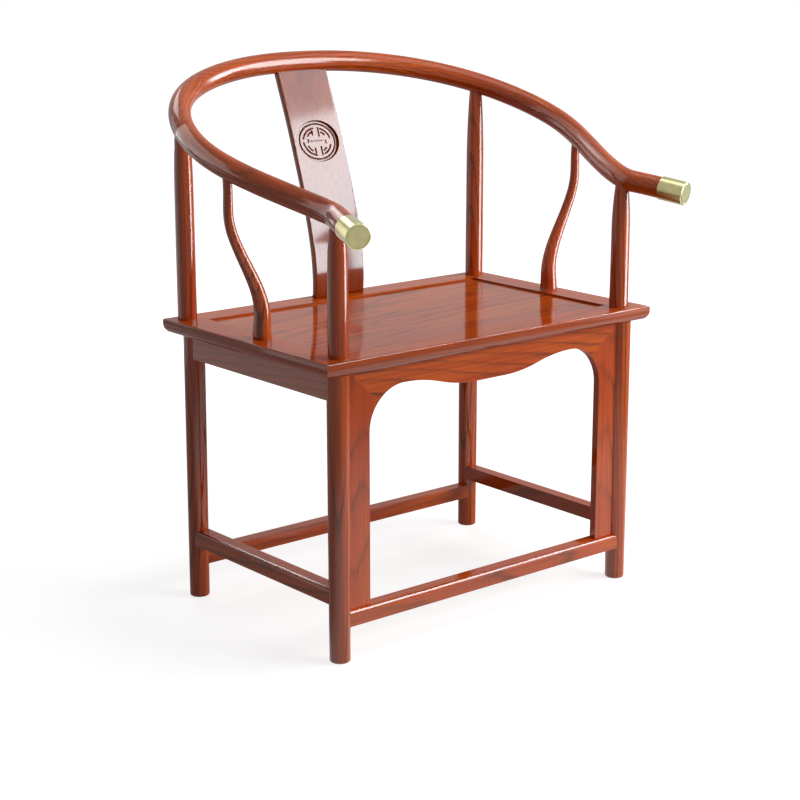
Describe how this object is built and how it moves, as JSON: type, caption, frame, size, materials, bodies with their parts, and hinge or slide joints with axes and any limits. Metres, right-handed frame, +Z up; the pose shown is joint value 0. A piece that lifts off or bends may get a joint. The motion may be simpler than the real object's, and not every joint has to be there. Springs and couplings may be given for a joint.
{
  "type": "horseshoe back armchair",
  "caption": "Low-backed wooden armchair with a continuous curved top rail for back and arms, a curved splat, a framed panel seat and an arched front apron.",
  "frame": {"origin": "on the floor, under the middle of the chair's bounding box", "axes": "+Z up, -Y towards the front of the seat, +X towards the right of the picture when the chair is seen from the front"},
  "size_m": [0.7594, 0.5964, 0.8592],
  "materials": {
    "rail_wood": "clear gloss lacquer",
    "frame_wood": "clear gloss lacquer",
    "splat_wood": "clear gloss lacquer",
    "panel_wood": "clear gloss lacquer",
    "apron_wood": "clear gloss lacquer",
    "batten_wood": "thin satin lacquer",
    "brass": "polished"
  },
  "bodies": {
    "root": {"crest_rail": "rail_wood", "shoulder_rail_left": "rail_wood", "shoulder_rail_right": "rail_wood", "arm_rail_left": "rail_wood", "arm_rail_right": "rail_wood", "rear_lap_key_left": "rail_wood", "rear_lap_key_right": "rail_wood", "side_lap_key_left": "rail_wood", "side_lap_key_right": "rail_wood", "post_rear_left": "frame_wood", "post_rear_right": "frame_wood", "post_front_left": "frame_wood", "post_front_right": "frame_wood", "side_post_left": "frame_wood", "side_post_right": "frame_wood", "back_splat": "splat_wood", "seat_rail_front": "frame_wood", "seat_rail_back": "frame_wood", "seat_rail_left": "frame_wood", "seat_rail_right": "frame_wood", "seat_panel": "panel_wood", "panel_batten_left": "batten_wood", "panel_batten_right": "batten_wood", "leg_front_left": "frame_wood", "leg_front_right": "frame_wood", "leg_rear_left": "frame_wood", "leg_rear_right": "frame_wood", "apron_front": "apron_wood", "apron_front_board_left": "apron_wood", "apron_front_board_right": "apron_wood", "apron_left": "apron_wood", "apron_right": "apron_wood", "apron_back": "apron_wood", "stretcher_front": "frame_wood", "stretcher_back": "frame_wood", "stretcher_left": "frame_wood", "stretcher_right": "frame_wood", "brass_cap_left": "brass", "brass_cap_right": "brass"}
  },
  "joints": []
}
